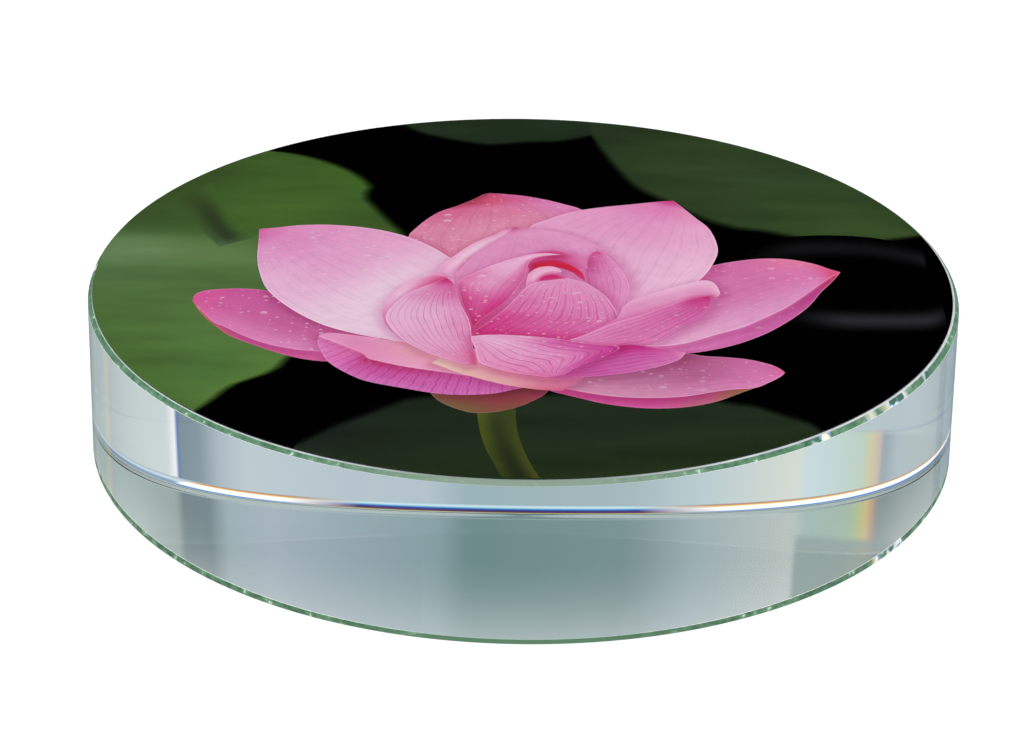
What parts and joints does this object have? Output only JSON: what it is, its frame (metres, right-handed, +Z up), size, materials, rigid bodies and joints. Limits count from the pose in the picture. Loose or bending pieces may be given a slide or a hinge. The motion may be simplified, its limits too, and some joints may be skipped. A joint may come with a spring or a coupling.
{
  "type": "paperweight",
  "caption": "Round clear-glass paperweight with chamfered edges and a round flower picture laid on its top face, standing flat on a desk.",
  "frame": {"origin": "centre of the bottom face, where the paperweight stands", "axes": "+Z up along the disc's axis, -Y towards the reader so the picture's lower edge faces -Y, +X to the picture's right"},
  "size_m": [0.08, 0.08, 0.0157],
  "materials": {
    "clear_glass": "polished flat faces, side and ground edges, faint green tint in the thickness",
    "clear_adhesive": "clear double-sided adhesive film",
    "printed_paper": "full-colour photo print, pink flower on dark green and black, white back",
    "clear_film": "clear gloss protective film"
  },
  "bodies": {
    "root": {"glass_disc": "clear_glass", "adhesive_film": "clear_adhesive", "picture_print": "printed_paper", "clear_cover_film": "clear_film"}
  },
  "joints": []
}
